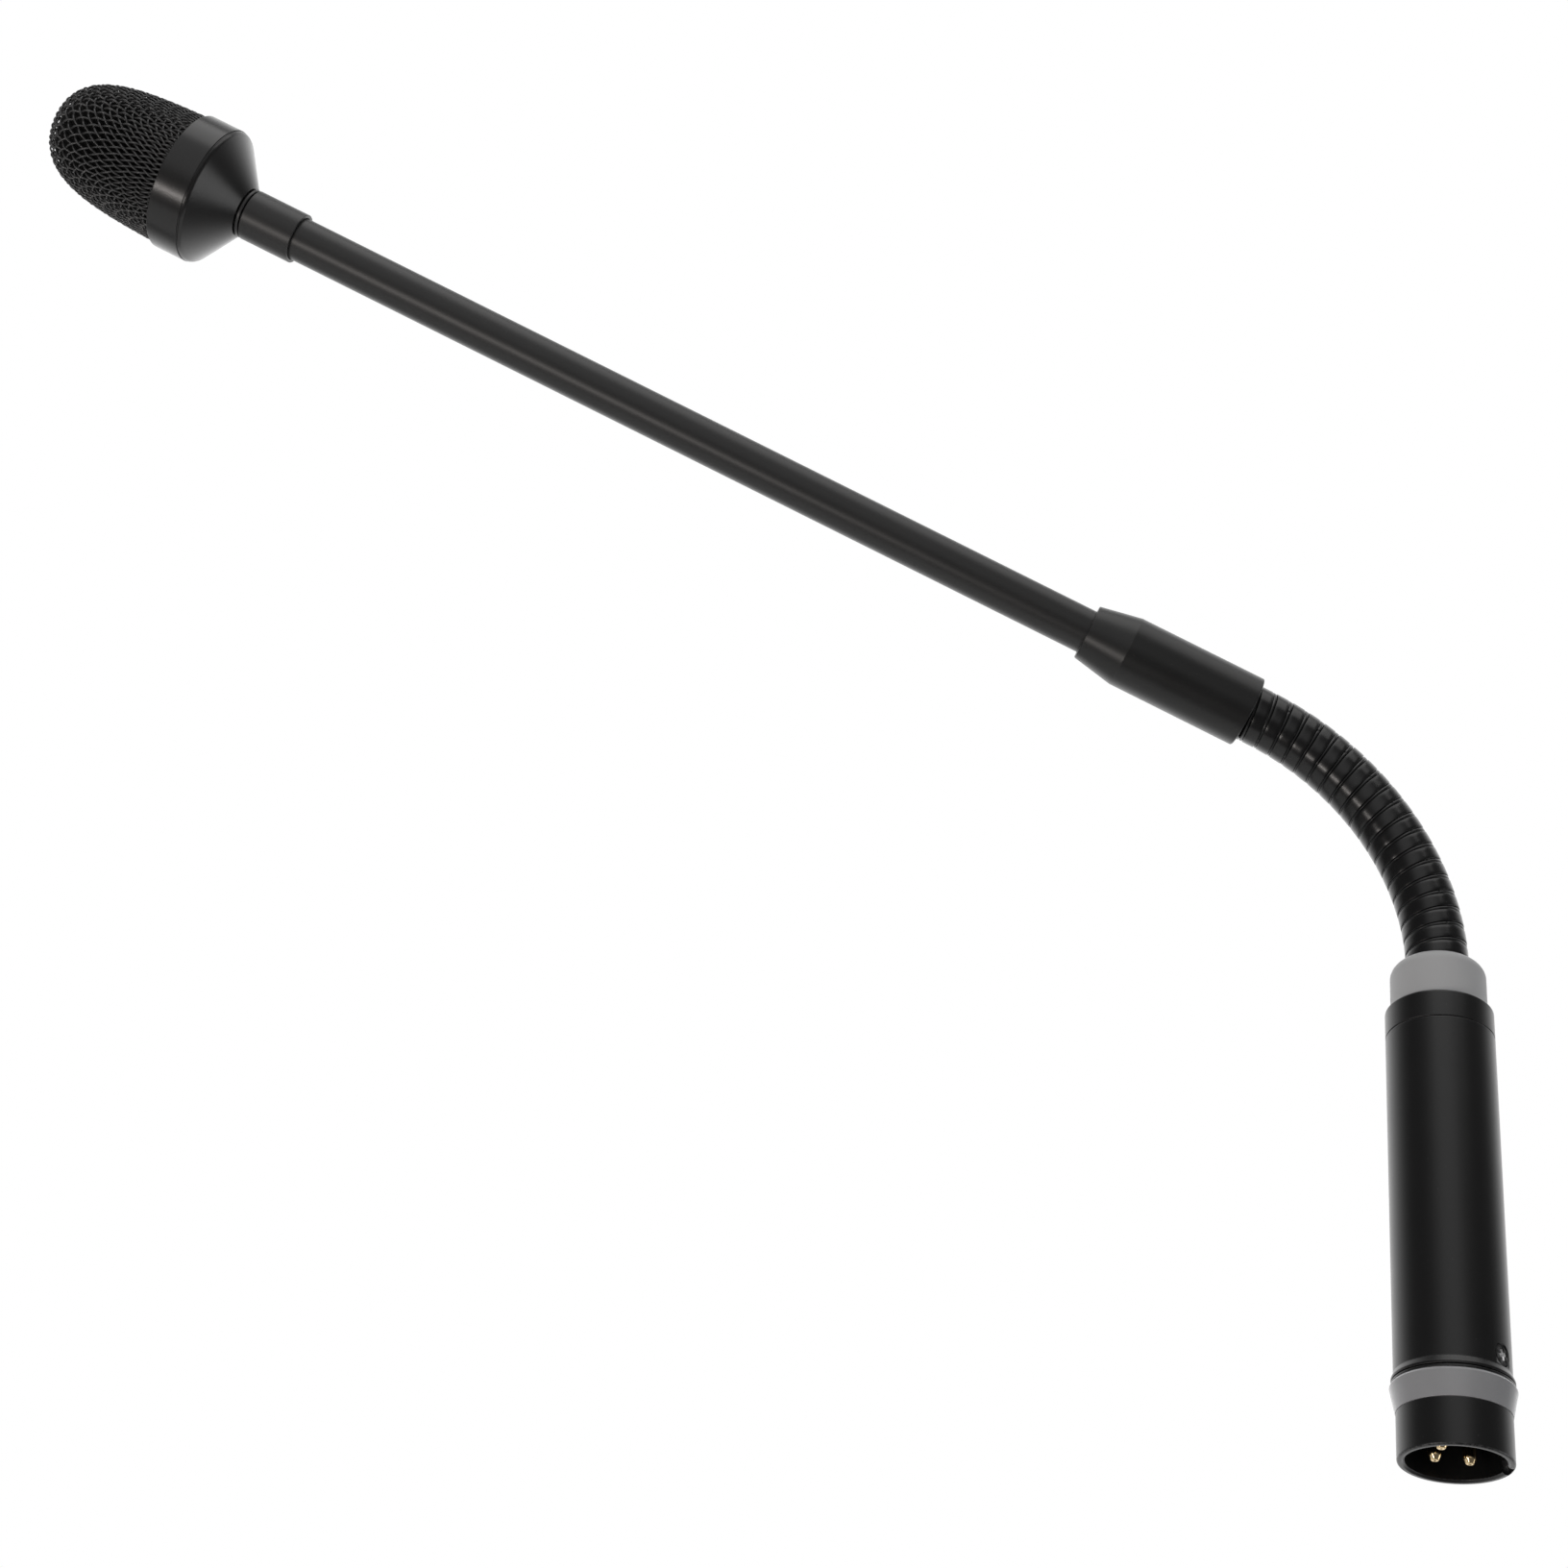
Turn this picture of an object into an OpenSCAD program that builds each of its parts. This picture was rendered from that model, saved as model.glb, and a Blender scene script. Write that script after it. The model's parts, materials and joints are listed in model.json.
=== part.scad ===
// Gooseneck podium microphone: XLR handle, wound gooseneck, straight boom and wire-mesh head.
// Millimetres. +Z up the handle, origin at the middle of the connector's open rim.
// The gooseneck bends towards -X. Boom parts are drawn along their own +Z and placed by on_boom().

/* [Connector] */
// Outside diameter of the connector shell
shell_od = 18.8; // [18.6:0.1:19.0]
// Inside diameter of the connector shell
shell_id = 16.2; // [15.8:0.1:16.4]
// Depth of the shell from its rim to the contact insert
shell_depth = 12; // [11:0.5:14]
// Diameter of each contact pin
pin_d = 2.4; // [2.2:0.1:2.5]
// Distance from the axis to each contact pin
pin_offset = 4; // [3.8:0.1:4.2]
// How far the pin tips sit behind the rim
pin_recess = 1.3; // [1:0.1:4]

/* [Handle] */
// Outside diameter of the handle tube
handle_od = 19.3; // [19.2:0.1:20.5]
// Height of the handle tube's top edge above the rim
handle_top = 78.6; // [74:1:100]
// Height of the end cap that closes the handle
cap_height = 5.5; // [5:0.5:8]
// Outside diameter of the rubber boot
boot_od = 17.2; // [16.6:0.2:18]
// Height of the rubber boot
boot_height = 10.1; // [8:0.5:14]

/* [Gooseneck] */
// Outside diameter of the wound gooseneck
neck_od = 11.4; // [11:0.1:11.6]
// Number of turns of winding
turn_count = 20; // [20]
// Advance of one turn along the gooseneck
turn_pitch = 3.32; // [3.2:0.02:3.6]
// Width of the flat winding band
band_w = 2.5; // [2.3:0.05:2.5]
// Radius of the bend that the gooseneck is set to
bend_r = 50.2; // [45:1:80]
// Angle between the handle and the boom
bend_angle = 73.2; // [20:1:74]

/* [Boom] */
// Outside diameter of the coupler sleeve
coupler_od = 14.3; // [13.8:0.1:16]
// Length of the coupler's cylindrical part
coupler_length = 26.5; // [24:0.5:32]
// Length of the coupler's conical nose
nose_length = 8.5; // [5:0.5:12]
// Outside diameter of the boom tube
boom_od = 8.8; // [8:0.1:8.8]
// Distance from the coupler's foot to the neck sleeve
boom_reach = 211; // [120:1:300]

/* [Head] */
// Outside diameter of the head
head_od = 28.4; // [27:0.1:32]
// Length of the front ring
ring_length = 6.9; // [6:0.1:10]
// Length of the mesh grille
grille_length = 28.3; // [25:0.1:34]
// Bluntness of the grille's dome, where 2 is an ellipse
dome_power = 3; // [2:0.1:4]

/* [Hidden] */
$fn = 96;
eps = 0.05;                                    // clearance between pieces that only touch
turn_names = [for (i = [1:turn_count]) str("gooseneck_turn_", i < 10 ? "0" : "", i)];

// Connector: heights above the rim
pin_azimuths = [210, 120, 30];
key_azimuth = -11;
keyway_depth = 0.9;                            // how far the keyway goes into the shell's wall
screw_azimuth = -60;
collar_r = shell_od / 2 - 0.7;                 // the shell inside the handle
shell_shoulder = 8;                            // where the full diameter ends
insert_top = shell_depth + 8;
shell_top = insert_top + 2;
solder_cup_top = insert_top + 4;
rim_round = 0.45;

// Handle: heights above the rim
handle_r = handle_od / 2;
bore_r = handle_r - 0.9;
collar_clear_r = collar_r + eps;
flange_z = 12.8;
skirt_z = 13.45;
skirt_r = handle_r + 0.4;
screw_z = 16.9;
screw_r = 1.95;
board_z = [26, 68.5];
board_size = [14, 1.6, board_z[1] - board_z[0]];
cap_top = handle_top + cap_height;
cap_wall = 2.5;
spigot_r = bore_r - 0.1;
spigot_bore_r = 7;
spigot_z = handle_top - 6.6;
o_ring_z = handle_top - 2.9;
o_ring_wire_r = 0.62;
boot_top = cap_top + boot_height;
boot_bore_r = neck_od / 2 + 0.4;
lead_r = 1.6;

// Gooseneck
neck_r = neck_od / 2;
band_inner_r = neck_r - 0.65;
tongue_r = band_inner_r - 0.25;
neck_bore_r = lead_r + 1.7;
tongue_rise = turn_pitch / 2 + 0.34;
arc_length = bend_r * bend_angle * PI / 180;
neck_length = turn_count * turn_pitch;
link_lead_length = turn_pitch - 0.6;

// Boom: distances from the coupler's foot
boom_r = boom_od / 2;
mouth_depth = 2.2;
mouth_r = neck_r + 0.5;
ferrule_r = 4.6;
coupler_end = coupler_length + nose_length;
tube_start = 14.2;
neck_sleeve_r = boom_r + 0.75;
neck_sleeve_end = boom_reach + 11;
tube_end = boom_reach + 3.3;
lock_ring_z = neck_sleeve_end + 0.3;
lock_ring_h = 0.65;
housing_z = neck_sleeve_end + 1.25;
head_r = head_od / 2;
ring_z = neck_sleeve_end + 8.3;
grille_z = ring_z + ring_length;
grille_tip = grille_z + grille_length;
grille_r = head_r - 0.6;
dome_r = head_r - 1;
dome_steps = 20;
capsule_r = 8;
capsule_z = [ring_z - 1, grille_z + 5];

// ---- helpers ----

// A solid of revolution from a closed outline of [radius, height] points
module turned(outline) { rotate_extrude($fn = 96) polygon(outline); }

// A tube between two heights
module tube(outer_r, inner_r, z0, z1) {
    turned([[inner_r, z0], [outer_r, z0], [outer_r, z1], [inner_r, z1]]);
}

// A hole or rod along Z between two heights
module rod(r, z0, z1) { translate([0, 0, z0]) cylinder(r = r, h = z1 - z0, $fn = 48); }

// A hole or rod that points outwards from the axis at an azimuth and a height
module radial_rod(r, azimuth, z, from_r, to_r) {
    rotate([0, 0, azimuth]) translate([from_r, 0, z]) rotate([0, 90, 0])
        cylinder(r = r, h = to_r - from_r, $fn = 48);
}

// Points of a quarter circle, from one angle to another
function arc_points(centre, r, from, to, steps = 8) =
    [for (k = [0:steps]) let (a = from + (to - from) * k / steps) centre + r * [cos(a), sin(a)]];

// Angle, and place in the XZ plane, at a distance along the gooseneck's centre line
function neck_angle(s) = min(s, arc_length) / bend_r * 180 / PI;
function neck_place(s) =
    let (a = neck_angle(s), straight = max(s - arc_length, 0))
    [-bend_r * (1 - cos(a)) - straight * sin(a), 0, boot_top + bend_r * sin(a) + straight * cos(a)];

// Draws children along their own +Z at a distance along the gooseneck
module on_neck(s) { translate(neck_place(s)) rotate([0, -neck_angle(s), 0]) children(); }
module on_boom() { on_neck(neck_length) children(); }

// Radius of the grille's dome at a distance behind its tip, for a skin lying inset inside it
function dome_radius(d, inset) =
    let (h = grille_length - inset, u = 1 - min(d, h) / h,
         flare = (grille_r - dome_r) * pow(max(d - 14, 0) / (grille_length - 14), 1.5))
    (dome_r + flare - inset) * pow(1 - pow(u, dome_power), 1 / dome_power);

// Outline points of the dome from its foot to its tip
function dome_points(inset) =
    let (h = grille_length - inset)
    [for (k = [0:dome_steps])
        let (d = h * pow(1 - k / dome_steps, 2.2)) [dome_radius(d, inset), grille_tip - inset - d]];
function reversed(list) = [for (k = [len(list) - 1:-1:0]) list[k]];

// ---- connector ----

module xlr_shell() color("#26262a") difference() {
    turned(concat(
        [[shell_id / 2, 0.5], [shell_id / 2 + 0.5, 0]],
        arc_points([shell_od / 2 - rim_round, rim_round], rim_round, -90, 0),
        [[shell_od / 2, shell_shoulder], [collar_r, shell_shoulder], [collar_r, shell_top],
         [shell_id / 2, shell_top]]));
    rotate([0, 0, key_azimuth]) translate([shell_id / 2 - 1, -1.5, -1]) cube([1 + keyway_depth, 3, 3.2]);
    radial_rod(screw_r / 1.5 + eps, screw_azimuth, screw_z, shell_id / 2 - 1, shell_od / 2 + 1);
}

module xlr_insert() color("#1b1b1d") difference() {
    rod(shell_id / 2 - eps, shell_depth, insert_top);
    for (a = pin_azimuths) rotate([0, 0, a]) translate([pin_offset, 0, 0])
        rod(pin_d / 2 - 0.2 + 0.02, shell_depth - 1, insert_top + 1);
    radial_rod(screw_r / 1.5 + eps, screw_azimuth, screw_z, 5.6, shell_od);
}

// A turned pin with a round tip, a thinner stem in the insert and a solder cup behind it
module contact_pin(azimuth) color("#d8b25a")
    rotate([0, 0, azimuth]) translate([pin_offset, 0, 0]) difference() {
        stem_r = pin_d / 2 - 0.2;
        turned(concat(
            [[0, pin_recess]],
            arc_points([0.2, pin_recess + pin_d / 2 - 0.2], pin_d / 2 - 0.2, -90, 0),
            [[pin_d / 2, pin_recess + pin_d / 2], [pin_d / 2, shell_depth - eps],
             [stem_r, shell_depth - eps], [stem_r, insert_top + 0.6], [1.4, insert_top + 0.6],
             [1.4, solder_cup_top], [0, solder_cup_top]]));
        rod(0.9, insert_top + 1.1, solder_cup_top + 1);
    }
module contact_pin_1() contact_pin(pin_azimuths[0]);
module contact_pin_2() contact_pin(pin_azimuths[1]);
module contact_pin_3() contact_pin(pin_azimuths[2]);

// Thin washer that ties the shell to contact 1
module ground_contact() color("#c9c9c4") difference() {
    union() {
        tube(shell_id / 2 - eps, 6.4, insert_top + eps, insert_top + 0.45);
        rotate([0, 0, pin_azimuths[0]]) translate([5.7, -1.2, insert_top + eps]) cube([1.2, 2.4, 0.4]);
    }
    radial_rod(0.5, pin_azimuths[1], insert_top + 0.2, 6, shell_od);
}

// ---- handle ----

module rattle_ring() color("#77777a") turned(concat(
    [[collar_clear_r, shell_shoulder + eps], [shell_od / 2 + 0.05, shell_shoulder + eps],
     [skirt_r + 0.3, flange_z - 0.5]],
    arc_points([skirt_r, flange_z - 0.35], 0.3, 0, 90, 4),
    [[collar_clear_r, flange_z - eps]]));

module handle_flange() color("#1c1c1e") turned([
    [collar_clear_r, flange_z], [skirt_r - 0.1, flange_z], [skirt_r, flange_z + 0.15],
    [skirt_r, flange_z + 0.35], [skirt_r - 0.1, flange_z + 0.45], [skirt_r - 0.5, flange_z + 0.45],
    [skirt_r - 0.5, skirt_z - 0.02], [collar_clear_r, skirt_z - 0.02]]);

module handle_tube() color("#303034") difference() {
    turned(concat(
        [[bore_r, skirt_z], [skirt_r - 0.1, skirt_z], [skirt_r, skirt_z + 0.1]],
        arc_points([handle_r + 1.05, skirt_z + 1.4], 1.05, 233, 180, 5),
        [[handle_r, handle_top - 0.25], [handle_r - 0.25, handle_top],
         [bore_r, handle_top]]));
    radial_rod(screw_r + eps, screw_azimuth, screw_z, bore_r - 1, handle_r + 1);
}

// Retaining screw: a flush cross-recessed head with its shank in the shell and the insert
module retaining_screw() color("#222225") rotate([0, 0, screw_azimuth]) difference() {
    translate([0, 0, screw_z]) rotate([0, 90, 0]) turned([
        [0, 5.8], [screw_r / 1.5, 5.8], [screw_r / 1.5, bore_r + eps], [screw_r, bore_r + eps],
        [screw_r, handle_r - 0.35], [screw_r - 0.2, handle_r - 0.15], [0, handle_r - 0.15]]);
    for (turn = [0, 90]) translate([handle_r - 0.6, 0, screw_z]) rotate([turn, 0, 0])
        translate([0, -1.1, -0.2]) cube([1, 2.2, 0.4]);
}

module preamp_board() color("#2f5d3a")
    translate([-board_size[0] / 2, -board_size[1] / 2, board_z[0]]) cube(board_size);

module output_transformer() color("#8d8f92")
    translate([-5, board_size[1] / 2 + eps, 52]) cube([9, 5.5, 11]);

// Two electrolytic capacitors lying on the board and two small film ones
module board_capacitors() color("#39424f") {
    for (z = [36, 45]) translate([-3, -board_size[1] / 2 - 2.6 - eps, z]) rotate([0, 90, 0])
        cylinder(r = 2.6, h = 8, $fn = 48);
    for (z = [56, 61]) translate([-3, -board_size[1] / 2 - 2.5 - eps, z]) cube([6, 2.5, 3]);
}

// Moulded disc that holds one end of the board. Its slot takes the board's end.
module carrier(z, slot_z, hole_r) color("#c8c4b8") difference() {
    rod(bore_r - eps, z, z + 3);
    translate([-board_size[0] / 2 - eps, -board_size[1] / 2 - eps, slot_z])
        cube([board_size[0] + 2 * eps, board_size[1] + 2 * eps, 2.6]);
    if (hole_r > 0) rod(hole_r, z - 1, z + 4);
    for (a = pin_azimuths) rotate([0, 0, a]) translate([pin_offset, 0, 0]) rod(0.6, z - 1, z + 4);
}
module lower_carrier() carrier(board_z[0] - 1, board_z[0] - eps, 0);
module upper_carrier() carrier(board_z[1] - 2, board_z[1] - 2.55, lead_r + eps);

// One wire from each solder cup to the side of the board
module output_wires() color("#b23a2e")
    for (a = pin_azimuths) {
        x = pin_offset * cos(a);
        y = pin_offset * sin(a);
        side = sign(y);
        translate([x, y, 0]) rod(0.45, insert_top + 1.2, 31);
        translate([x, y, 30.6]) rotate([side * 90, 0, 0])
            cylinder(r = 0.44, h = abs(y) - board_size[1] / 2 - eps, $fn = 32);
    }

module end_cap() color("#2c2c30") turned([
    [spigot_bore_r, spigot_z], [spigot_r, spigot_z], [spigot_r, o_ring_z - 0.72],
    [spigot_r - 1.2, o_ring_z - 0.72], [spigot_r - 1.2, o_ring_z + 0.72],
    [spigot_r, o_ring_z + 0.72], [spigot_r, handle_top + eps], [handle_r - 0.25, handle_top + eps],
    [handle_r, handle_top + 0.3], [handle_r, cap_top - 0.5], [handle_r - 0.5, cap_top],
    [ferrule_r + eps, cap_top], [ferrule_r + eps, cap_top - cap_wall],
    [spigot_bore_r, cap_top - cap_wall]]);

module o_ring() color("#101010") translate([0, 0, o_ring_z]) rotate_extrude($fn = 96)
    translate([spigot_r - 1.2 + eps / 2 + o_ring_wire_r, 0]) circle(r = o_ring_wire_r, $fn = 32);

module rubber_boot() color("#8f8f90") turned(concat(
    [[boot_bore_r, cap_top + eps], [boot_od / 2, cap_top + eps]],
    arc_points([boot_od / 2 - 2.6, boot_top - 2.9], 2.6, 0, 72, 10),
    arc_points([boot_bore_r + 0.2, boot_top - 0.2], 0.2, 60, 90, 3),
    [[boot_bore_r, boot_top]]));

// Tube with a shoulder on the cap and a thread through it. Its top is the gooseneck's first tongue.
module lower_ferrule() color("#9a9a9c") difference() {
    union() {
        rod(ferrule_r, handle_top - 0.5, cap_top + 1);
        rod(boot_bore_r - 0.1, cap_top + eps, cap_top + 2);
        rod(tongue_r, cap_top + 1, boot_top + 0.34);
    }
    rod(lead_r + 0.4, handle_top - 2, boot_top + 2);
}

module ferrule_nut() color("#b0b0b0") difference() {
    translate([0, 0, handle_top]) cylinder(r = 6.6, h = cap_top - cap_wall - handle_top - eps, $fn = 6);
    rod(ferrule_r + eps, handle_top - 1, cap_top);
}

module handle_lead() color("#202022") rod(lead_r, board_z[1] + eps, boot_top - 0.3);

// ---- gooseneck ----

// One turn of the winding, as a ring: a flat band and the fill that rises behind the next band.
// A length of the lead runs through it.
module gooseneck_turn(i) color("#1a1a1c") on_neck((i - 0.5) * turn_pitch) {
    turned([
        [neck_bore_r, -0.3], [band_inner_r, -0.3], [band_inner_r, -band_w / 2],
        [neck_r - 0.2, -band_w / 2], [neck_r, -band_w / 2 + 0.25], [neck_r, band_w / 2 - 0.25],
        [neck_r - 0.2, band_w / 2], [tongue_r, band_w / 2], [tongue_r, tongue_rise],
        [neck_bore_r, tongue_rise]]);
    rod(lead_r, -link_lead_length / 2, link_lead_length / 2);
}

// ---- boom ----

module coupler_sleeve() color("#2b2b2e") on_boom() difference() {
    turned([
        [mouth_r, 0], [coupler_od / 2 - 0.3, 0], [coupler_od / 2, 0.3], [coupler_od / 2, coupler_length],
        [boom_r + 1.15, coupler_end], [boom_r + eps, coupler_end], [boom_r + eps, tube_start - 0.1],
        [ferrule_r + eps, tube_start - 0.1], [ferrule_r + eps, mouth_depth], [mouth_r, mouth_depth]]);
    radial_rod(1.5 + eps, 90, 8, 3, coupler_od);
}

module upper_ferrule() color("#9a9a9c") on_boom() difference() {
    tube(ferrule_r, lead_r + 0.4, mouth_depth + 0.1, tube_start - 0.2);
    radial_rod(1.1, 90, 8, ferrule_r - 0.4, coupler_od);
}

// Set screw with a hexagon socket, on the side of the coupler
module grub_screw() color("#3a3a3c") on_boom() difference() {
    radial_rod(1.5, 90, 8, ferrule_r + eps, coupler_od / 2 - 0.3);
    rotate([0, 0, 90]) translate([coupler_od / 2 - 1.5, 0, 8]) rotate([0, 90, 0])
        cylinder(r = 0.87, h = 3, $fn = 6);
}

module boom_tube() color("#343436") on_boom() tube(boom_r, boom_r - 0.8, tube_start, tube_end);

module boom_lead() color("#202022") on_boom() rod(lead_r, 0.4, ring_z - 2.2);

module neck_sleeve() color("#2f2f32") on_boom() turned([
    [boom_r + eps, boom_reach], [neck_sleeve_r - 0.15, boom_reach], [neck_sleeve_r, boom_reach + 0.15],
    [neck_sleeve_r, neck_sleeve_end - 0.1], [neck_sleeve_r - 0.1, neck_sleeve_end],
    [boom_r + 0.2, neck_sleeve_end], [boom_r + 0.2, tube_end + 0.1], [boom_r + eps, tube_end + 0.1]]);

module neck_lock_ring() color("#37373a") on_boom()
    tube(neck_sleeve_r - 0.05, boom_r + 0.2, lock_ring_z, lock_ring_z + lock_ring_h);

// Hollow cone with a round shoulder and a spigot that enters the neck sleeve
module rear_housing() color("#2a2a2d") on_boom() turned(concat(
    [[lead_r + eps, tube_end + 0.3], [boom_r + 0.15, tube_end + 0.3], [boom_r + 0.15, housing_z],
     [neck_sleeve_r + 0.15, housing_z]],
    arc_points([head_r - 1.35, ring_z + 0.3], 1.3, -53, -15, 8),
    [[head_r - 0.2, ring_z], [head_r - 1.9, ring_z], [head_r - 2.4, ring_z - 0.9],
     [7.5, ring_z - 4.4], [lead_r + eps, ring_z - 4.4]]));

module front_ring() color("#29292c") on_boom() turned([
    [head_r - 1.7, ring_z + eps], [head_r - 0.1, ring_z + eps], [head_r, ring_z + 0.15],
    [head_r, grille_z - 0.25], [head_r - 0.2, grille_z], [head_r - 1.7, grille_z]]);

// Shell of revolution between two skins of the dome
module dome_shell(outer_inset, inner_inset) turned(concat(
    reversed(dome_points(inner_inset)), dome_points(outer_inset)));

module mesh_grille() color("#1d1d1f") on_boom() translate([0, 0, eps]) dome_shell(0, 0.9);
module inner_screen() color("#0f0f10") on_boom() translate([0, 0, eps]) dome_shell(1.1, 1.6);

module capsule_mount() color("#151515") on_boom()
    tube(head_r - 1.8, capsule_r + eps, ring_z + 0.6, grille_z - 0.6);

module capsule_body() color("#85858a") on_boom() difference() {
    rod(capsule_r, capsule_z[0], capsule_z[1]);
    rod(capsule_r - 0.8, capsule_z[0] + 1, capsule_z[1] + 1);
}

module capsule_diaphragm() color("#caa84c") on_boom()
    rod(capsule_r - 0.85, capsule_z[1] - 1.4, capsule_z[1] - 0.9);

module capsule_backplate() color("#b08d3c") on_boom() difference() {
    rod(capsule_r - 0.85, capsule_z[1] - 3.1, capsule_z[1] - 1.5);
    for (a = [0:45:315]) rotate([0, 0, a]) translate([4.6, 0, 0]) rod(0.6, capsule_z[1] - 4, capsule_z[1]);
}

module capsule_board() color("#2f5d3a") on_boom() rod(6.6, ring_z - 2, ring_z - 1.05);

xlr_shell();
xlr_insert();
contact_pin_1();
contact_pin_2();
contact_pin_3();
ground_contact();
rattle_ring();
handle_flange();
handle_tube();
retaining_screw();
preamp_board();
output_transformer();
board_capacitors();
lower_carrier();
upper_carrier();
output_wires();
end_cap();
o_ring();
rubber_boot();
lower_ferrule();
ferrule_nut();
handle_lead();
for (i = [1:turn_count])
    gooseneck_turn(i);
coupler_sleeve();
upper_ferrule();
grub_screw();
boom_tube();
boom_lead();
neck_sleeve();
neck_lock_ring();
rear_housing();
front_ring();
mesh_grille();
inner_screen();
capsule_mount();
capsule_body();
capsule_diaphragm();
capsule_backplate();
capsule_board();
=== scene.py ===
import json
import math

import bpy
import numpy as np
from mathutils import Matrix, Vector

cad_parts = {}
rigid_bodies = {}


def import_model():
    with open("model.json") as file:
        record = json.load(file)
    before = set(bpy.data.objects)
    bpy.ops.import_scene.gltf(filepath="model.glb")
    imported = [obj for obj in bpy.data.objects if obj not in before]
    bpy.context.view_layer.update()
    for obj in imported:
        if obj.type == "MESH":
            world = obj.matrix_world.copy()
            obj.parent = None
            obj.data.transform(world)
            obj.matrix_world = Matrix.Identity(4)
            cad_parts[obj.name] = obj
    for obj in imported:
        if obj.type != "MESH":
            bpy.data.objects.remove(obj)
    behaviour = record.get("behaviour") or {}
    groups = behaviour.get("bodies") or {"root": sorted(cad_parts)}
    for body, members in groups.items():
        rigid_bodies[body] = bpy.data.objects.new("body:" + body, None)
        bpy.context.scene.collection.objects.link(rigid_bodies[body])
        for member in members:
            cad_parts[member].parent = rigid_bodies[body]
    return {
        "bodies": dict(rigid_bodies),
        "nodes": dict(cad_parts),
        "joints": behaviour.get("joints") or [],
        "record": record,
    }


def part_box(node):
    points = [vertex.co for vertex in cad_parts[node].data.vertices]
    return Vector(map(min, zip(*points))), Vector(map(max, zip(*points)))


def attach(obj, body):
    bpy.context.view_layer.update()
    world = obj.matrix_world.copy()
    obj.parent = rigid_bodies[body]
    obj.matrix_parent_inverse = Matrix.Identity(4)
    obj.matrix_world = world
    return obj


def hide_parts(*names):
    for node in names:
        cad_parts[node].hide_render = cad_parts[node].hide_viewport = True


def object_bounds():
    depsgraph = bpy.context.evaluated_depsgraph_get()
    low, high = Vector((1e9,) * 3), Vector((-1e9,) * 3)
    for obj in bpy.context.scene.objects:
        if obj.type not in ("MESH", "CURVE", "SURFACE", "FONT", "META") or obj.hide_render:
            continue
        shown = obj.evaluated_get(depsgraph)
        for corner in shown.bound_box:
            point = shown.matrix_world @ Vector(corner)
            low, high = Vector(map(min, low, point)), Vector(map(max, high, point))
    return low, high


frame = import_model()
CAD_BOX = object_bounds()

# A gooseneck podium microphone. Everything is in metres, in the CAD's own frame:
# +Z up the handle, the origin at the connector's rim, the bend towards -X.
MM = 0.001
SIDES = 160                      # facets round a turned piece
SCENE = bpy.context.scene


# ---------------------------------------------------------------- camera, light, stage

CAMERA_PLACE = Vector((-0.1729, -0.3475, -0.1411))
CAMERA_RIGHT = Vector((0.9678, -0.2180, 0.1256)).normalized()
CAMERA_FORWARD = Vector((0.1099, 0.8154, 0.5683)).normalized()
CAMERA_UP = CAMERA_RIGHT.cross(CAMERA_FORWARD).normalized()
FLOOR_Z = -0.75
FLOOR_SPAN = (-1.6, 0.7, 0.05, 1.25)     # left, right, near and far edge
ROOM_LEVEL, WALL_LEVEL, STRIP_LEVEL, WINDOW_LEVEL = 0.11, 1.5, 0.55, 1.6


def make_camera():
    data = bpy.data.cameras.new("camera")
    data.lens = 54
    data.sensor_width = 36
    data.clip_start = 0.01
    camera = bpy.data.objects.new("camera", data)
    axes = Matrix((CAMERA_RIGHT, CAMERA_UP, -CAMERA_FORWARD)).transposed()
    camera.matrix_world = Matrix.Translation(CAMERA_PLACE) @ axes.to_4x4()
    SCENE.collection.objects.link(camera)
    SCENE.camera = camera


def studio(right, up, forward):
    """A direction or place given along the studio's own axes, as seen by the photographer."""
    return CAMERA_RIGHT * right + CAMERA_UP * up + CAMERA_FORWARD * forward


def area_light(name, place, target, size, power, colour=(1, 1, 1), length_way=None):
    """A soft lamp that faces its target. Its longer side can be laid along a given direction."""
    data = bpy.data.lights.new(name, "AREA")
    data.shape = "RECTANGLE"
    data.size, data.size_y = size
    data.energy = power
    data.color = colour
    light = bpy.data.objects.new(name, data)
    back = (place - target).normalized()
    across = back.cross(length_way or CAMERA_RIGHT).normalized()
    axes = Matrix((across.cross(back), across, back)).transposed()
    light.matrix_world = Matrix.Translation(place) @ axes.to_4x4()
    SCENE.collection.objects.link(light)


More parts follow.
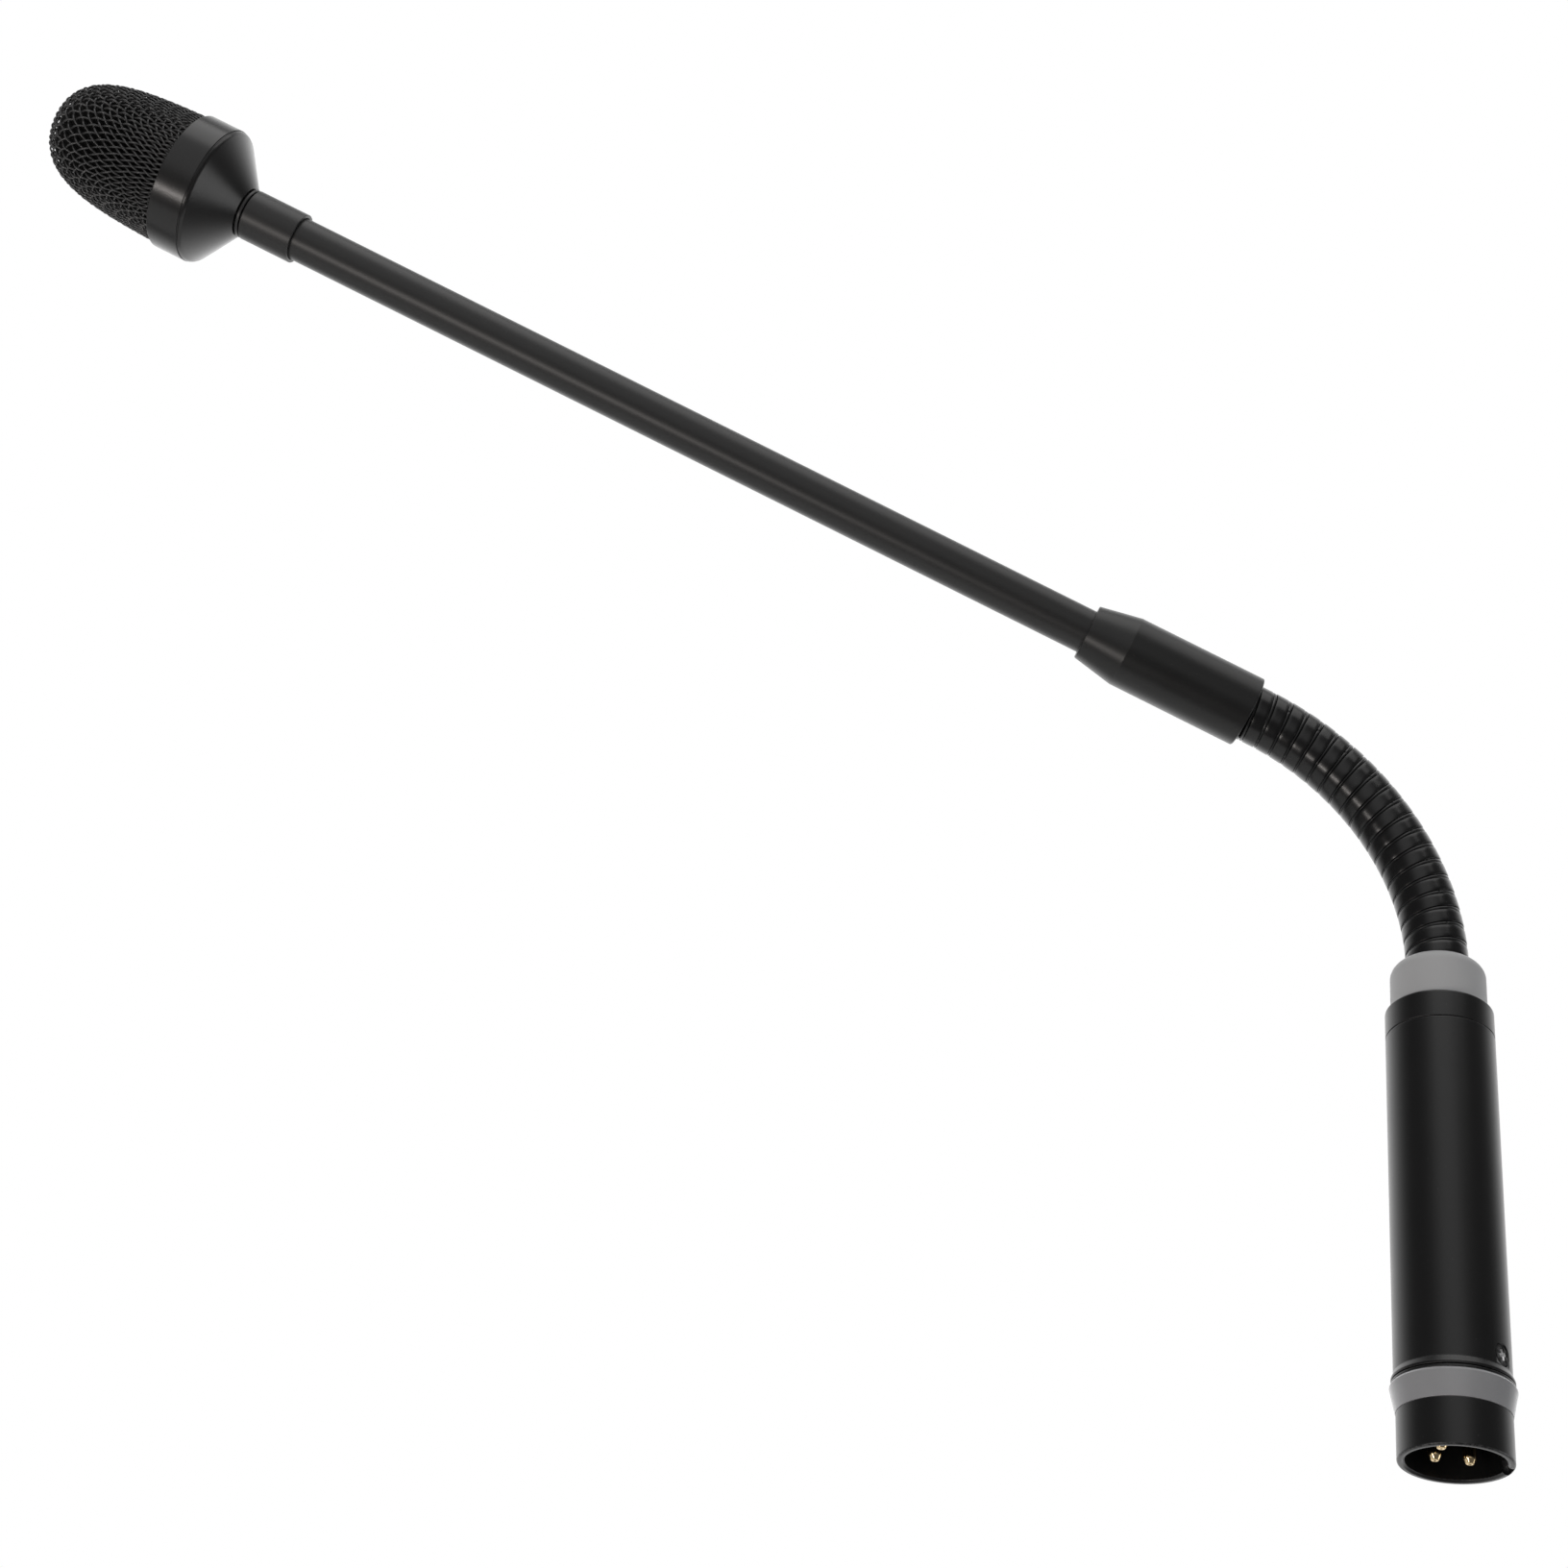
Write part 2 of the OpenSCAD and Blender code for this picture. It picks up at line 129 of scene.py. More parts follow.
def make_world():
    """A dim room: a white wall behind the object, a strip of light in front, a window to the right."""
    world = bpy.data.worlds.new("studio")
    SCENE.world = world
    world.use_nodes = True
    tree = world.node_tree
    tree.nodes.clear()
    g = Graph(tree)
    way = g.node("ShaderNodeTexCoord").outputs["Generated"]
    wall = g.smooth(g.dot(way, studio(0.13, -0.15, 1)), 0.15, 0.98)
    right_end = g.smooth(g.dot(way, Vector((1.0, 0, 0))), 0.25, -0.15)
    left_end = g.smooth(g.dot(way, Vector((1.0, 0, 0))), -0.85, -0.45)
    near_side = g.smooth(g.dot(way, Vector((0, -1, 0))), 0.1, 0.3)
    foot = g.smooth(g.dot(way, Vector((0, 0, 1))), -0.55, -0.25)
    width = g.math("MULTIPLY", right_end, left_end)
    strip = g.math("MULTIPLY", width, g.math("MULTIPLY", near_side, foot))
    window = g.smooth(g.dot(way, Vector((0.955, -0.13, -0.27))), 0.94, 0.985)
    level = g.mix_value(wall, ROOM_LEVEL, WALL_LEVEL)
    level = g.math("ADD", level, g.math("MULTIPLY", strip, STRIP_LEVEL))
    level = g.math("ADD", level, g.math("MULTIPLY", window, WINDOW_LEVEL))
    seen = g.node("ShaderNodeLightPath").outputs["Is Camera Ray"]
    walls = g.node("ShaderNodeBackground", Color=(1, 1, 1, 1))
    g.link(level, walls.inputs["Strength"])
    backdrop = g.node("ShaderNodeBackground", Color=(1, 1, 1, 1), Strength=1.0)
    both = g.node("ShaderNodeMixShader")
    g.link(seen, both.inputs[0])
    g.link(walls.outputs[0], both.inputs[1])
    g.link(backdrop.outputs[0], both.inputs[2])
    g.link(both.outputs[0], g.node("ShaderNodeOutputWorld").inputs["Surface"])


def make_stage():
    """A pale paper floor, low down and behind the object."""
    mesh = bpy.data.meshes.new("floor")
    left, right, near, far = FLOOR_SPAN
    corners = [(x, y, FLOOR_Z) for x, y in ((left, near), (right, near), (right, far), (left, far))]
    mesh.from_pydata(corners, [], [(0, 1, 2, 3)])
    floor = bpy.data.objects.new("floor", mesh)
    SCENE.collection.objects.link(floor)
    mesh.materials.append(finish("floor_paper", (0.86, 0.86, 0.85), rough=0.75, grain=(300, 0.02)))


# ---------------------------------------------------------------- node graphs

class Graph:
    """Short calls that add shader nodes and link them."""

    def __init__(self, tree):
        self.tree = tree

    def node(self, kind, **values):
        made = self.tree.nodes.new(kind)
        for key, value in values.items():
            name = key.replace("_", " ")
            if name in made.inputs:
                made.inputs[name].default_value = value
            else:
                setattr(made, key, value)
        return made

    def link(self, out, into):
        self.tree.links.new(out, into)

    def put(self, value, socket):
        if isinstance(value, bpy.types.NodeSocket):
            self.link(value, socket)
        else:
            socket.default_value = value

    def math(self, operation, a, b=0.0, clamp=False):
        made = self.node("ShaderNodeMath", operation=operation, use_clamp=clamp)
        self.put(a, made.inputs[0])
        self.put(b, made.inputs[1])
        return made.outputs[0]

    def dot(self, a, vector):
        made = self.node("ShaderNodeVectorMath", operation="DOT_PRODUCT")
        self.put(a, made.inputs[0])
        made.inputs[1].default_value = vector
        return made.outputs["Value"]

    def smooth(self, value, low, high, to=(0.0, 1.0)):
        """0 at low and 1 at high, with soft ends. low may be the larger."""
        made = self.node("ShaderNodeMapRange", interpolation_type="SMOOTHSTEP")
        self.put(value, made.inputs["Value"])
        flip = low > high
        made.inputs["From Min"].default_value = min(low, high)
        made.inputs["From Max"].default_value = max(low, high)
        made.inputs["To Min"].default_value = to[1] if flip else to[0]
        made.inputs["To Max"].default_value = to[0] if flip else to[1]
        return made.outputs["Result"]

    def mix_value(self, factor, a, b):
        made = self.node("ShaderNodeMix", data_type="FLOAT")
        self.put(factor, made.inputs[0])
        self.put(a, made.inputs[2])
        self.put(b, made.inputs[3])
        return made.outputs[0]

    def mix_colour(self, factor, a, b):
        made = self.node("ShaderNodeMix", data_type="RGBA")
        self.put(factor, made.inputs[0])
        for value, socket in ((a, made.inputs[6]), (b, made.inputs[7])):
            self.put((*value, 1) if isinstance(value, tuple) else value, socket)
        return made.outputs[2]

    def noise(self, where, scale, detail=3.0, rough=0.55, stretch=None):
        if stretch:
            mapping = self.node("ShaderNodeMapping", Scale=stretch)
            self.link(where, mapping.inputs["Vector"])
            where = mapping.outputs[0]
        made = self.node("ShaderNodeTexNoise", Scale=scale, Detail=detail, Roughness=rough)
        self.link(where, made.inputs["Vector"])
        return made.outputs["Fac"]


COAT_ROUGHNESS = 0.1
DUST_COLOUR = (0.45, 0.44, 0.42)


def times(colour, k):
    return tuple(min(c * k, 1.0) for c in colour)


def finish(name, colour, rough=0.4, metal=0.0, vary=0.15, grain=(2500, 0.05), smear=0.06,
           wear=None, wear_amount=0.5, dust=0.0, coat=0.0, specular=0.5, sheen=0.0,
           lines=None, cloudy=120):
    """A surface with fine grain, slow changes of tone and gloss, rubbed edges and settled dust.

    grain is (how fine, how deep in millimetres); lines is (how fine, how deep beside the grain) for
    turning marks along Z; wear is the colour that shows where an edge is rubbed."""
    made = bpy.data.materials.new(name)
    made.use_nodes = True
    tree = made.node_tree
    g = Graph(tree)
    shader = tree.nodes["Principled BSDF"]
    where = g.node("ShaderNodeTexCoord").outputs["Object"]
    cloud = g.noise(where, cloudy, 4.0)
    fine = g.noise(where, grain[0], 2.0, 0.6)
    tone = g.mix_colour(cloud, times(colour, 1 - vary), times(colour, 1 + vary))
    tone = g.mix_colour(g.smooth(fine, 0.35, 0.75, to=(0.0, vary)), tone, times(colour, 1.6))
    gloss = g.math("ADD", g.mix_value(cloud, rough - smear, rough + smear),
                   g.mix_value(fine, -0.03, 0.03))
    if wear:
        edge = g.node("ShaderNodeAttribute", attribute_name="edge").outputs["Fac"]
        rubbed = g.math("MULTIPLY", edge, g.smooth(g.noise(where, 2600, 4.0), 0.34, 0.72))
        rubbed = g.math("MULTIPLY", rubbed, wear_amount)
        tone = g.mix_colour(rubbed, tone, wear)
        gloss = g.mix_value(rubbed, gloss, rough * 0.75)
    if dust:
        specks = g.smooth(g.noise(where, 4200, 1.0, 0.4), 0.79, 0.84)
        tone = g.mix_colour(g.math("MULTIPLY", specks, dust), tone, DUST_COLOUR)
    g.link(tone, shader.inputs["Base Color"])
    g.link(gloss, shader.inputs["Roughness"])
    shader.inputs["Metallic"].default_value = metal
    shader.inputs["Specular IOR Level"].default_value = specular
    shader.inputs["Coat Weight"].default_value = coat
    shader.inputs["Coat Roughness"].default_value = COAT_ROUGHNESS
    shader.inputs["Sheen Weight"].default_value = sheen
    height = fine
    if lines:
        turned = g.noise(where, lines[0], 2.0, 0.7, stretch=(0.02, 0.02, 1.0))
        height = g.math("ADD", height, g.math("MULTIPLY", turned, lines[1]))
    bump = g.node("ShaderNodeBump", Strength=1.0, Distance=grain[1] * MM)
    g.link(height, bump.inputs["Height"])
    g.link(bump.outputs[0], shader.inputs["Normal"])
    return made


# ---------------------------------------------------------------- meshes

def add_mesh(name, points, faces, attributes=()):
    mesh = bpy.data.meshes.new(name)
    mesh.from_pydata([tuple(p) for p in points], [], faces)
    for key, values in attributes:
        mesh.attributes.new(key, "FLOAT", "POINT").data.foreach_set("value", values)
    mesh.shade_smooth()
    piece = bpy.data.objects.new(name, mesh)
    SCENE.collection.objects.link(piece)
    return piece


NEARLY_STRAIGHT = math.radians(172)      # corners flatter than this stay as they are
SHARP_CUT = math.radians(32)             # edges of a cut sharper than this stay sharp


def fillet(outline, radius, steps=4):
    """Rounds the corners of a closed outline of (radius, height[, own corner radius]) points.

    Returns the new points, and for each one how much it belongs to an outside corner."""
    points, edge = [], []
    n = len(outline)
    for k, corner in enumerate(outline):
        here = Vector(corner[:2])
        before = Vector(outline[k - 1][:2]) - here
        after = Vector(outline[(k + 1) % n][:2]) - here
        want = corner[2] if len(corner) > 2 else radius
        turn = before.angle(after)
        if want <= 0 or turn > NEARLY_STRAIGHT:
            points.append(here)
            edge.append(0.0)
            continue
        cut = min(want / math.tan(turn / 2), 0.45 * before.length, 0.45 * after.length)
        own = cut * math.tan(turn / 2)
        a, b = before.normalized(), after.normalized()
        centre = here + (a + b).normalized() * (own / math.sin(turn / 2))
        start, end = here + a * cut - centre, here + b * cut - centre
        sweep = start.angle_signed(end)
        for s in range(steps + 1):
            spun = start.copy()
            spun.rotate(Matrix.Rotation(-sweep * s / steps, 2))
            points.append(centre + spun)
            edge.append(math.sin(math.pi * s / steps))
    return points, edge


def area_of(outline):
    return sum(a[0] * b[1] - b[0] * a[1] for a, b in zip(outline, outline[1:] + outline[:1])) / 2


def lathe(name, outline, place=Matrix.Identity(4), radius=0.12, sides=SIDES, steps=4):
    """Turns a closed outline, in millimetres, round its own Z, with rounded corners."""
    if area_of([tuple(p[:2]) for p in outline]) < 0:
        outline = outline[::-1]
    points, edge = fillet(outline, radius, steps)
    n = len(points)
    angles = [2 * math.pi * k / sides for k in range(sides)]
    verts = [place @ (Vector((p.x * math.cos(a), p.x * math.sin(a), p.y)) * MM)
             for a in angles for p in points]
    faces = [(s * n + k, ((s + 1) % sides) * n + k, ((s + 1) % sides) * n + (k + 1) % n,
              s * n + (k + 1) % n) for s in range(sides) for k in range(n)]
    piece = add_mesh(name, verts, faces, [("edge", edge * sides)])
    keep_flats(piece)
    return piece


def keep_flats(piece):
    """Large faces keep flat shading beside their rounded edges."""
    weighted = piece.modifiers.new("flats", "WEIGHTED_NORMAL")
    weighted.weight = 100


def cap_poles(outline):
    """An outline that runs to the axis: its points there get a hair's radius, so that it stays closed."""
    return [(max(p[0], 0.002), *p[1:]) for p in outline]


def sweep(name, rings):
    """A skin over equal rings of points, closed at both ends."""
    n = len(rings[0])
    last = len(rings) - 1
    points = [p for ring in rings for p in ring]
    faces = [(r * n + k, r * n + (k + 1) % n, (r + 1) * n + (k + 1) % n, (r + 1) * n + k)
             for r in range(last) for k in range(n)]
    faces.append(tuple(range(n))[::-1])
    faces.append(tuple(last * n + k for k in range(n)))
    return add_mesh(name, points, faces)


def cut(piece, tool):
    """Takes one mesh away from another and throws the tool away. The cut keeps the tool's material."""
    boolean = piece.modifiers.new("cut", "BOOLEAN")
    boolean.operation = "DIFFERENCE"
    boolean.object = tool
    boolean.solver = "EXACT"
    boolean.material_mode = "TRANSFER"
    piece.modifiers.move(len(piece.modifiers) - 1, 0)
    bpy.context.view_layer.update()
    graph = bpy.context.evaluated_depsgraph_get()
    flats = piece.modifiers.get("flats")
    if flats:
        piece.modifiers.remove(flats)
    graph.update()
    cut_mesh = bpy.data.meshes.new_from_object(piece.evaluated_get(graph))
    piece.modifiers.clear()
    piece.data = cut_mesh
    bpy.data.objects.remove(tool)
    cut_mesh.set_sharp_from_angle(angle=SHARP_CUT)
    keep_flats(piece)
    return piece


def rod(name, radius, low, high, place=Matrix.Identity(4), sides=48, corner=0.1):
    return lathe(name, cap_poles([(0, low, 0), (radius, low, corner), (radius, high, corner),
                                  (0, high, 0)]), place, sides=sides, steps=3)


def dress(piece, material, body, slot, *nodes):
    """Gives a new piece its material and body, and hides the CAD nodes that it stands for. The slot
    argument is not used.
    """
    if material:
        piece.data.materials.clear()
        piece.data.materials.append(material)
    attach(piece, body)
    if nodes:
        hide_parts(*nodes)
    return piece


# ---------------------------------------------------------------- the frame's own places

TURNS = sorted(b for b in frame["bodies"] if b.startswith("turn_"))
BODIES = ["handle", *TURNS, "boom"]
PLACES = [Vector(j["pos_m"]) for j in frame["joints"]]


class Neck:
    """The gooseneck's centre line: an arc from the handle's axis, then a short straight part."""

    def __init__(self):
        self.start = PLACES[0]
        self.end = PLACES[-1]
        heading = (middle("neck_lock_ring") - self.end).normalized()
        self.angle = math.atan2(-heading.x, heading.z)
        across, rise = -(self.end.x - self.start.x), self.end.z - self.start.z
        s, c = math.sin(self.angle), math.cos(self.angle)
        # across = R (1 - c) + t s  and  rise = R s + t c
        whole = (1 - c) * c - s * s
        self.radius = (across * c - rise * s) / whole
        self.straight = ((1 - c) * rise - s * across) / whole
        self.arc = self.radius * self.angle
        self.length = self.arc + self.straight
        self.pitch = self.length / len(TURNS)

    def turned(self, s):
        return min(max(s / self.radius, 0.0), self.angle)

    def along(self, s):
        a = self.turned(s)
        return Vector((-math.sin(a), 0, math.cos(a)))

    def outward(self, s):
        a = self.turned(s)
        return Vector((math.cos(a), 0, math.sin(a)))

    def centre(self, s):
        a = self.turned(s)
        arc = Vector((-self.radius * (1 - math.cos(a)), 0, self.radius * math.sin(a)))
        extra = s if s < 0 else max(s - self.arc, 0.0)
        return self.start + arc + self.along(s) * extra

    def point(self, s, turn, radius, shift=0.0):
        """A point at a radius and azimuth about the centre line, shifted along it."""
        way = self.outward(s) * math.cos(turn) + Vector((0, 1, 0)) * math.sin(turn)
        return self.centre(s) + way * radius + self.along(s) * shift

    def matrix(self, s):
        """Places a piece drawn along +Z on the centre line, its +X to the bend's outside."""
        columns = Matrix((self.outward(s), Vector((0, 1, 0)), self.along(s))).transposed()
        return Matrix.Translation(self.centre(s)) @ columns.to_4x4()


def middle(node):
    low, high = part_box(node)
    return (low + high) / 2


def reach(node, place=Matrix.Identity(4)):
    """A CAD node's inner and outer radius and its ends, in millimetres, about a place's own Z."""
    back = place.inverted()
    points = np.array([(back @ v.co) / MM for v in frame["nodes"][node].data.vertices])
    radii = np.hypot(points[:, 0], points[:, 1])
    return radii.min(), radii.max(), points[:, 2].min(), points[:, 2].max()


NECK = Neck()
BOOM = NECK.matrix(NECK.length)


# ---------------------------------------------------------------- materials

def make_materials():
    worn = (0.20, 0.20, 0.205)
    return {
        "handle_black": finish("handle_anodised", (0.0065, 0.0065, 0.0068), rough=0.32, vary=0.10,
                               grain=(9000, 0.006), smear=0.03, wear=worn, wear_amount=0.18, dust=0.25),
        "boom_black": finish("boom_satin", (0.022, 0.0216, 0.0218), rough=0.38, vary=0.12,
                             grain=(7000, 0.008), smear=0.03, wear=worn, wear_amount=0.18, dust=0.25),
        "coupler_black": finish("coupler_satin", (0.009, 0.0089, 0.0089), rough=0.36, vary=0.12,
                                grain=(7000, 0.008), smear=0.03, wear=worn, wear_amount=0.18, dust=0.25),
        "head_black": finish("head_satin", (0.014, 0.0137, 0.0137), rough=0.24, vary=0.10,
                             grain=(9000, 0.005), smear=0.03, wear=worn, wear_amount=0.30, dust=0.2),
        "black_shell": finish("connector_black", (0.0065, 0.0065, 0.0068), rough=0.33, vary=0.12,
                              grain=(8000, 0.006), smear=0.03, wear=worn, wear_amount=0.4, dust=0.2),
        "winding_black": finish("winding_gloss", (0.006, 0.006, 0.0063), rough=0.26, vary=0.2,
                                grain=(1600, 0.006), smear=0.03, wear=worn, wear_amount=0.3, dust=0.2),
        "fill_black": finish("fill_gloss", (0.010, 0.010, 0.0105), rough=0.30, vary=0.2,
                             grain=(2600, 0.008)),
        "mesh_black": finish("mesh_paint", (0.062, 0.062, 0.063), rough=0.24, vary=0.25,
                             grain=(4000, 0.012), smear=0.06),
        "screen_black": finish("screen_cloth", (0.004, 0.004, 0.004), rough=0.9, vary=0.4,
                               grain=(6000, 0.12), sheen=0.1, specular=0.1),
        "grey_rubber": finish("boot_rubber", (0.50, 0.503, 0.51), rough=0.55, vary=0.04,
                              grain=(5000, 0.02), smear=0.05, dust=0.1, specular=0.35),
        "grey_ring": finish("ring_plastic", (0.37, 0.372, 0.385), rough=0.26, vary=0.05,
                            grain=(6000, 0.006), smear=0.03, wear=(0.6, 0.6, 0.6), wear_amount=0.5,
                            dust=0.15),
        "gold": finish("contact_gold", (0.87, 0.66, 0.38), rough=0.13, metal=1.0, vary=0.08,
                       grain=(6000, 0.004), lines=(60000, 0.6)),
        "insert_plastic": finish("insert_moulded", (0.008, 0.008, 0.009), rough=0.5, grain=(5000, 0.02)),
        "tinned_metal": finish("tinned_metal", (0.62, 0.62, 0.60), rough=0.34, metal=1.0,
                               grain=(3000, 0.01)),
        "dark_screw": finish("screw_oxide", (0.006, 0.006, 0.0065), rough=0.5, vary=0.2, specular=0.25,
                             grain=(5000, 0.010)),
        # Near-white paint for the screw recess's walls: a painted glint standing for light caught on the
        # recess facets.
        "recess_painted_glint": finish("screw_recess_painted_glint", (0.92, 0.92, 0.93), rough=0.35, metal=0.35, vary=0.08,
                              grain=(5000, 0.010)),
        "circuit_board": finish("solder_mask", (0.02, 0.09, 0.035), rough=0.3, vary=0.25,
                                grain=(3000, 0.02), coat=0.3),
        "capacitor_sleeve": finish("capacitor_sleeve", (0.03, 0.05, 0.08), rough=0.25, vary=0.1),
        "carrier_plastic": finish("natural_nylon", (0.62, 0.60, 0.52), rough=0.5, vary=0.05),
        "wire_insulation": finish("wire_insulation", (0.42, 0.03, 0.02), rough=0.42, vary=0.1),
        "black_rubber": finish("black_rubber", (0.012, 0.012, 0.012), rough=0.7, vary=0.2,
                               grain=(4000, 0.03), specular=0.3),
        "plain_steel": finish("turned_steel", (0.42, 0.42, 0.43), rough=0.32, metal=1.0,
                              grain=(4000, 0.006), lines=(50000, 1.0)),
        "lead_jacket": finish("lead_jacket", (0.013, 0.013, 0.014), rough=0.6, vary=0.15,
                              grain=(4000, 0.03), specular=0.3),
        "brass": finish("capsule_brass", (0.72, 0.52, 0.22), rough=0.3, metal=1.0,
                        grain=(4000, 0.006)),
    }


def dress_cad_nodes(materials):
    """Every CAD node gets its slot's material. The ones that stay in sight keep it."""
    for part in frame["record"]["subparts"]:
        mesh = frame["nodes"][part["node"]].data
        mesh.materials.clear()
        mesh.materials.append(materials[part["material_slot"]])


# ---------------------------------------------------------------- connector and handle

KEY_AZIMUTH = math.radians(-11)
KEY_DEPTH = 0.9                  # how far the keyway goes into the shell's wall
KEY_WIDTH, KEY_LENGTH = 3.0, 3.2
PIN_R = 1.2
SOLDER_CUP_R, SOLDER_CUP_LENGTH = 1.35, 3.4


def connector_shell(material):
    inner, outer, low, high = reach("xlr_shell")
    shoulder = reach("rattle_ring")[2] - 0.05
    piece = lathe("xlr_shell_body", [
        (inner, low + 0.35, 0.15), (inner + 0.42, low, 0.2), (outer, low, 0.55), (outer, shoulder),
        (outer - 0.7, shoulder), (outer - 0.7, high), (inner, high)])
    notch_centre = Vector((inner + (KEY_DEPTH - 1) / 2, 0, low + 0.6))
    cut(piece, box_tool((1 + KEY_DEPTH, KEY_WIDTH, KEY_LENGTH), notch_centre, KEY_AZIMUTH))
    hole = rod("tool", SCREW_R / 1.5 + 0.05, inner - 1, outer + 1, radial(SCREW_AZIMUTH, screw_height()))
    cut(piece, hole)
    dress(piece, material, "handle", "black_shell", "xlr_shell")


def box_tool(size, centre, azimuth, taper=1.0):
    """A block in millimetres, turned about Z. Its lower end is scaled by the taper."""
    x, y, z = (Vector(size) / 2)
    corners = [(sx * x * (1 if sz > 0 else taper), sy * y * (1 if sz > 0 else taper), sz * z)
               for sx in (-1, 1) for sy in (-1, 1) for sz in (-1, 1)]
    faces = [(0, 1, 3, 2), (4, 6, 7, 5), (0, 4, 5, 1), (2, 3, 7, 6), (0, 2, 6, 4), (1, 5, 7, 3)]
    spin = Matrix.Rotation(azimuth, 4, "Z")
    return add_mesh("tool", [spin @ ((Vector(c) + centre) * MM) for c in corners], faces)


SCREW_R = 1.95
RECESS_ARM = (2.5, 0.78, 1.5)    # length, width and depth of one arm of the cross recess
SPIGOT_BORE, CAP_WALL = 7.0, 2.5
SCREW_AZIMUTH = math.atan2(middle("retaining_screw").y, middle("retaining_screw").x)


def screw_height():
    return middle("retaining_screw").z / MM


def radial(azimuth, height):
    """Places a piece drawn along +Z so that it points out from the handle's axis."""
    out = Vector((math.cos(azimuth), math.sin(azimuth), 0))
    side = Vector((-math.sin(azimuth), math.cos(azimuth), 0))
    columns = Matrix((side, Vector((0, 0, 1)), out)).transposed()
    return Matrix.Translation(Vector((0, 0, height * MM))) @ columns.to_4x4()


def contact_pins(material):
    for number in (1, 2, 3):
        node = f"contact_pin_{number}"
        centre = middle(node)
        place = Matrix.Translation(Vector((centre.x, centre.y, 0)))
        low, high = (corner.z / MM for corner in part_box(node))
        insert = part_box("xlr_insert")[0].z / MM
        piece = lathe(f"{node}_gold", cap_poles([
            (0, low, 0), (PIN_R * 0.55, low + 0.05, 0.4), (PIN_R, low + PIN_R * 0.8, 1.2),
            (PIN_R, insert - 0.05), (PIN_R - 0.2, insert - 0.05), (PIN_R - 0.2, high - SOLDER_CUP_LENGTH),
            (SOLDER_CUP_R, high - SOLDER_CUP_LENGTH), (SOLDER_CUP_R, high), (0, high, 0)]),
            place, sides=64, steps=6)
        dress(piece, material, "handle", "gold", node)


def grey_ring(material):
    inner, outer, low, high = reach("rattle_ring")
    shell = reach("xlr_shell")[1]
    piece = lathe("rattle_ring_moulding", [
        (inner, low), (shell + 0.06, low, 0.1), (outer, high - 0.42, 0.12), (outer - 0.25, high, 0.14),
        (inner, high)])
    dress(piece, material, "handle", "grey_ring", "rattle_ring")


def flange(material):
    inner, outer, low, high = reach("handle_flange")
    piece = lathe("handle_flange_ring", [
        (inner, low), (outer, low, 0.12), (outer, low + 0.45, 0.1), (outer - 0.5, low + 0.45, 0.02),
        (outer - 0.5, high), (inner, high)])
    dress(piece, material, "handle", "black_shell", "handle_flange")


def handle_tube(material):
    inner, skirt, low, high = reach("handle_tube")
    body = reach("end_cap")[1]
    piece = lathe("handle_tube_body", [
        (inner, low), (skirt, low, 0.1), (skirt, low + 0.42, 0.3), (body, low + 1.35, 0.9),
        (body, high, 0.22), (inner, high)])
    hole = rod("tool", SCREW_R + 0.06, inner - 1, body + 1, radial(SCREW_AZIMUTH, screw_height()),
               corner=0)
    cut(piece, hole)
    dress(piece, material, "handle", "handle_black", "handle_tube")


def retaining_screw(material, glint_paint):
    """A flush screw. The walls of its cross recess carry a near-white paint: a painted glint where light
    would catch the recess's facets.
    """
    place = radial(SCREW_AZIMUTH, screw_height())
    handle = reach("end_cap")[1]
    tip = reach("xlr_insert")[1] - 2.2
    piece = lathe("retaining_screw_head", cap_poles([
        (0, tip, 0), (SCREW_R / 1.5, tip), (SCREW_R / 1.5, handle - 0.9), (SCREW_R, handle - 0.9),
        (SCREW_R, handle - 0.22, 0.25), (0, handle - 0.12, 0)]), place, sides=64)
    piece.data.materials.append(material)
    # Each recess arm cuts its near-white paint into the head: a painted glint on the recess walls.
    for turn in (math.radians(20), math.radians(110)):
        arm = box_tool(RECESS_ARM, Vector((0, 0, 0)), turn, taper=0.45)
        arm.data.materials.append(glint_paint)
        arm.data.transform(place @ Matrix.Translation(Vector((0, 0, handle - 0.15)) * MM))
        cut(piece, arm)
    dress(piece, None, "handle", "dark_screw", "retaining_screw")


def end_cap(material):
    inner, outer, low, high = reach("end_cap")
    seam = reach("handle_tube")[3]
    groove = reach("o_ring")
    spigot, edge = groove[1] + 0.5, seam + 0.06
    piece = lathe("end_cap_body", [
        (SPIGOT_BORE, low), (spigot, low), (spigot, edge, 0.02), (outer, edge, 0.2),
        (outer, high, 0.5), (inner, high), (inner, high - CAP_WALL), (SPIGOT_BORE, high - CAP_WALL)])
    dress(piece, material, "handle", "handle_black", "end_cap")


def rubber_boot(material):
    inner, outer, low, high = reach("rubber_boot")
    shoulder = [(outer - 2.6 + 2.6 * math.cos(a), high - 2.9 + 2.6 * math.sin(a), 0)
                for a in np.linspace(0, math.radians(76), 12)]
    piece = lathe("rubber_boot_moulding", [(inner, low), (outer, low, 0.2), *shoulder,
                                           (inner + 0.2, high, 0.15), (inner, high - 0.15, 0.1)])
    dress(piece, material, "handle", "grey_rubber", "rubber_boot")


# ---------------------------------------------------------------- gooseneck

BAND_OUT = reach("gooseneck_turn_01", NECK.matrix(NECK.pitch / 2))[1]
BAND_IN, BAND_HALF = BAND_OUT - 0.24, 1.25          # the flat winding's section
FILL_TOP, FILL_SIDE, FILL_IN = BAND_OUT - 0.08, BAND_OUT - 0.50, BAND_OUT - 1.15   # the fill wire
CUT_TURN = math.pi / 2                              # azimuth of the bend hinges' line
FULL_TURN = 2 * math.pi
STEPS_A_TURN = 84
LEAD_R = 1.6


